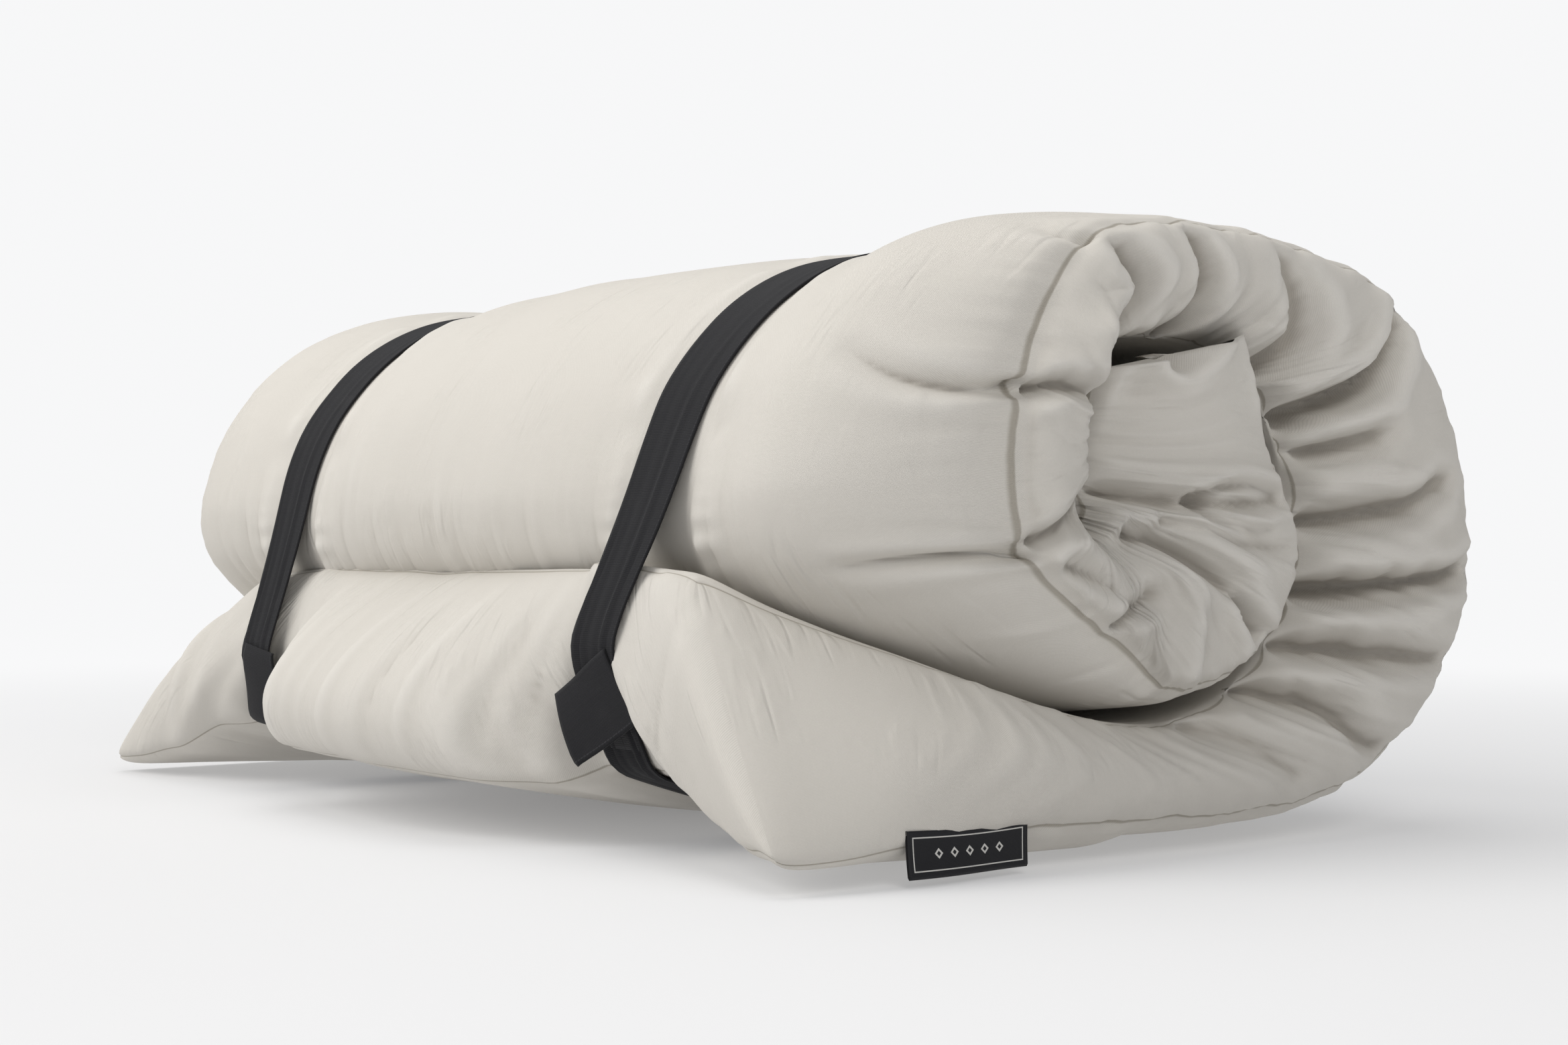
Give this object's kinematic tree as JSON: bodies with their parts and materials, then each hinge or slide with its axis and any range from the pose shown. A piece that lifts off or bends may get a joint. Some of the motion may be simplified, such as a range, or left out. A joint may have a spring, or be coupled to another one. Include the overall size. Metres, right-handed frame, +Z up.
{
  "type": "futon mattress",
  "caption": "Boxed cotton futon mattress in a zipped twill cover, rolled up and held by hook-and-loop straps, with a free end that lies flat.",
  "frame": {"origin": "on the floor under the middle of the whole object's box", "axes": "+X from the free end to the back of the roll, +Y along the roll to its far end, +Z up"},
  "size_m": [0.6894, 1.0018, 0.435],
  "materials": {
    "cover_cloth": "cotton twill",
    "casing_cloth": "plain cotton ticking",
    "batting": "carded cotton",
    "strap_webbing": "woven strap",
    "hook_loop": "hook and loop tape",
    "zip_tape": "woven tape",
    "zip_coil": "nylon coil",
    "zip_metal": "die-cast metal",
    "label_ribbon": "woven ribbon"
  },
  "bodies": {
    "mattress": {"cover_outer_panel": "cover_cloth", "cover_inner_panel": "cover_cloth", "cover_side_near": "cover_cloth", "cover_side_far": "cover_cloth", "cover_tail_end": "cover_cloth", "cover_zip_facing": "cover_cloth", "cover_zip_flap": "cover_cloth", "casing_outer_panel": "casing_cloth", "casing_inner_panel": "casing_cloth", "casing_border": "casing_cloth", "batting_1": "batting", "batting_2": "batting", "batting_3": "batting", "batting_4": "batting", "batting_5": "batting", "batting_6": "batting", "zip_tape_outer": "zip_tape", "zip_tape_inner": "zip_tape", "zip_coil_outer": "zip_coil", "zip_coil_inner": "zip_coil", "zip_stops": "zip_metal", "strap_near_band": "strap_webbing", "strap_near_loop_pad": "hook_loop", "strap_far_band": "strap_webbing", "strap_far_loop_pad": "hook_loop"},
    "slider": {"zip_slider": "zip_metal"},
    "puller": {"zip_puller": "zip_metal"},
    "label": {"side_label": "label_ribbon"},
    "near_tab": {"strap_near_tab": "strap_webbing", "strap_near_hook_pad": "hook_loop"},
    "far_tab": {"strap_far_tab": "strap_webbing", "strap_far_hook_pad": "hook_loop"}
  },
  "joints": [
    {"name": "zip_slide", "type": "slide", "parent": "mattress", "child": "slider", "axis": [0, 1, 0], "range_m": [-0.916, 0]},
    {"name": "puller_swing", "type": "hinge", "parent": "slider", "child": "puller", "pos_m": [0.07665, 0.44395, 0.32798], "axis": [1, 0, 0], "range_deg": [0, 38]},
    {"name": "label_flip", "type": "hinge", "parent": "mattress", "child": "label", "pos_m": [-0.17335, -0.50015, 0.0335], "axis": [1, 0, 0], "range_deg": [-130, 0]},
    {"name": "near_strap_peel", "type": "hinge", "parent": "mattress", "child": "near_tab", "pos_m": [-0.31965, -0.26905, 0.1185], "axis": [0, 1, 0], "range_deg": [0, 110]},
    {"name": "far_strap_peel", "type": "hinge", "parent": "mattress", "child": "far_tab", "pos_m": [-0.31965, 0.27095, 0.1185], "axis": [0, 1, 0], "range_deg": [0, 110]}
  ]
}
